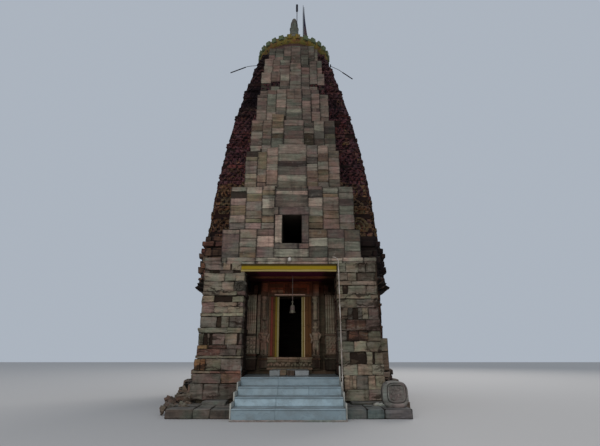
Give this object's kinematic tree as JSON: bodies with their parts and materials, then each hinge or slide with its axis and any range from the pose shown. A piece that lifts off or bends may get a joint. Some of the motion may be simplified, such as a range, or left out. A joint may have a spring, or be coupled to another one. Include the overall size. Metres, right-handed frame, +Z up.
{
  "type": "hindu temple",
  "caption": "Small stone temple: open porch on two piers, carved doorway, hollow shrine room and a tall curved hollow tower with a ribbed crown, finial and flag.",
  "frame": {"origin": "on the tower's vertical axis, at ground level", "axes": "+Z up, -Y out of the porch towards a visitor, +X to the visitor's right"},
  "size_m": [6.4, 7.59, 14.72],
  "materials": {
    "footing_stone": "rough weathered sandstone with dust and dark stains",
    "plinth_stone": "rough broken courses of brown sandstone",
    "marble": "honed pale blue-grey marble slabs",
    "pier_stone": "weathered squared sandstone blocks in mixed browns",
    "yellow_paint": "yellow paint on smooth stone",
    "ashlar": "sawn sandstone blocks in grey, pink and tan",
    "carved_sandstone": "carved red-brown sandstone",
    "tower_stone": "dark maroon carved sandstone with black weathering",
    "old_green_stone": "worn olive-grey stone",
    "crown_paint": "faded olive-yellow paint over ribbed stone",
    "steel": "weathered grey steel",
    "flag_cloth": "limp faded red cotton",
    "white_plastic": "dusty white plastic pipe",
    "bell_metal": "dull pale bell metal"
  },
  "bodies": {
    "temple": {"apron_left": "footing_stone", "apron_right": "footing_stone", "plinth_left": "plinth_stone", "plinth_right": "plinth_stone", "plinth_back": "plinth_stone", "shrine_floor": "footing_stone", "porch_floor": "marble", "step_1": "marble", "step_2": "marble", "step_3": "marble", "pier_left": "pier_stone", "pier_right": "pier_stone", "porch_lintel": "yellow_paint", "cornice_slab": "ashlar", "ceiling_slab": "carved_sandstone", "shrine_wall_left": "tower_stone", "shrine_wall_right": "tower_stone", "shrine_wall_back": "tower_stone", "door_wall": "carved_sandstone", "threshold": "carved_sandstone", "door_step": "old_green_stone", "door_jamb_left": "yellow_paint", "door_jamb_right": "yellow_paint", "figure_pilaster_left": "carved_sandstone", "figure_pilaster_right": "carved_sandstone", "ribbed_pilaster_left": "carved_sandstone", "ribbed_pilaster_right": "carved_sandstone", "door_head": "carved_sandstone", "tower_left": "tower_stone", "tower_right": "tower_stone", "tower_back": "tower_stone", "front_lower": "ashlar", "front_middle": "ashlar", "front_upper": "ashlar", "window_frame": "ashlar", "amalaka": "crown_paint", "kalasha": "old_green_stone", "lightning_rod": "steel", "flag_pole": "steel", "flag": "flag_cloth", "lamp_arm_left": "steel", "lamp_arm_right": "steel", "conduit": "white_plastic", "carved_stone": "footing_stone", "corner_stub": "plinth_stone"},
    "bell": {"bell": "bell_metal"},
    "clapper": {"clapper": "steel"}
  },
  "joints": [
    {"name": "bell_swing", "type": "hinge", "parent": "temple", "child": "bell", "pos_m": [0.04, -2.66, 3.17], "axis": [1, 0, 0], "range_deg": [-25, 25]},
    {"name": "clapper_swing", "type": "hinge", "parent": "bell", "child": "clapper", "pos_m": [0.04, -2.66, 2.395], "axis": [1, 0, 0], "range_deg": [-14, 14]}
  ]
}
